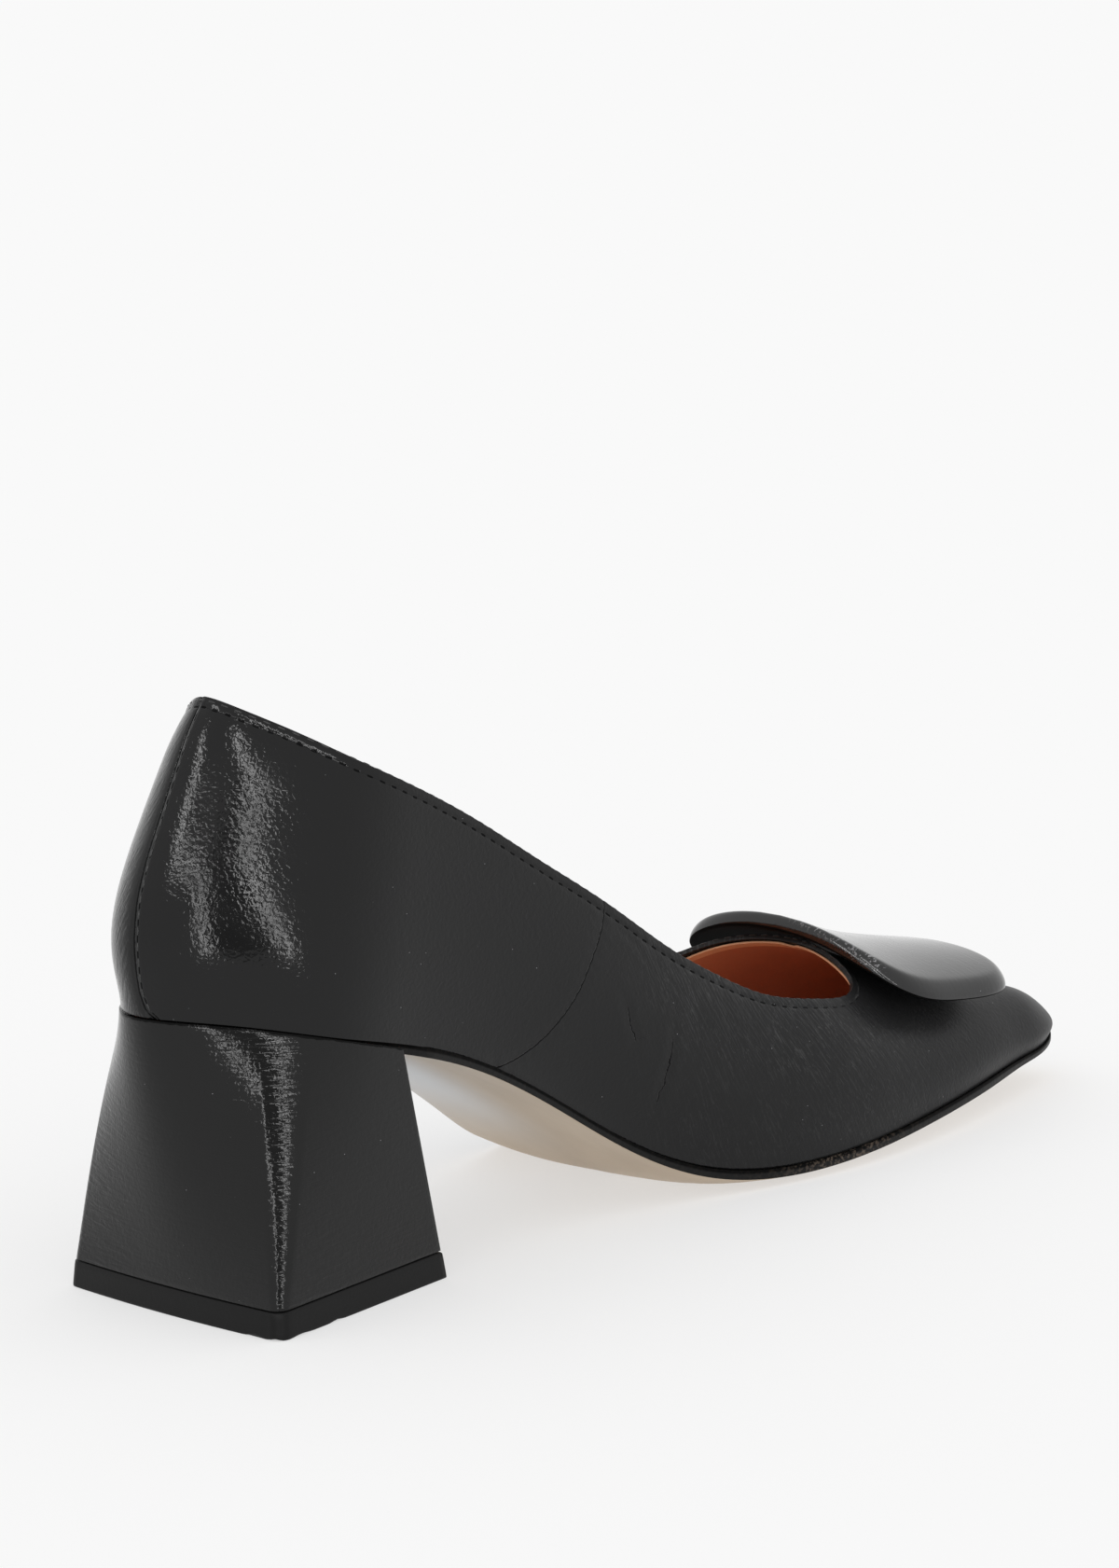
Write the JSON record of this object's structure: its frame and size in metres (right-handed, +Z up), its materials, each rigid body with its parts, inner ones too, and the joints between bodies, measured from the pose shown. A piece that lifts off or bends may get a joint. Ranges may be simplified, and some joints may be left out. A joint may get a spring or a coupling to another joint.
{
  "type": "block heel pump",
  "caption": "Woman's left slip-on pump with a pointed toe, a low-cut open topline, a flared block heel and a leather-covered saddle plate across the vamp, in glossy black leather.",
  "frame": {"origin": "on the floor under the middle of the shoe's box", "axes": "+Z up, +X from heel to toe, +Y towards the outer (lateral) side of the left foot"},
  "size_m": [0.2481, 0.0758, 0.1174],
  "materials": {
    "upper_leather": "glossy crinkled black leather",
    "sole_leather": "natural beige sole leather with a black painted edge",
    "lining_leather": "smooth tan lining leather",
    "heel_leather": "glossy crinkled black leather wrapped over the block",
    "lift_rubber": "satin black heel rubber",
    "plate_leather": "glossy black leather over a thin stiff plate"
  },
  "bodies": {
    "root": {"upper": "upper_leather", "outsole": "sole_leather", "insole": "lining_leather", "heel": "heel_leather", "top_lift": "lift_rubber", "saddle_plate": "plate_leather"}
  },
  "joints": []
}
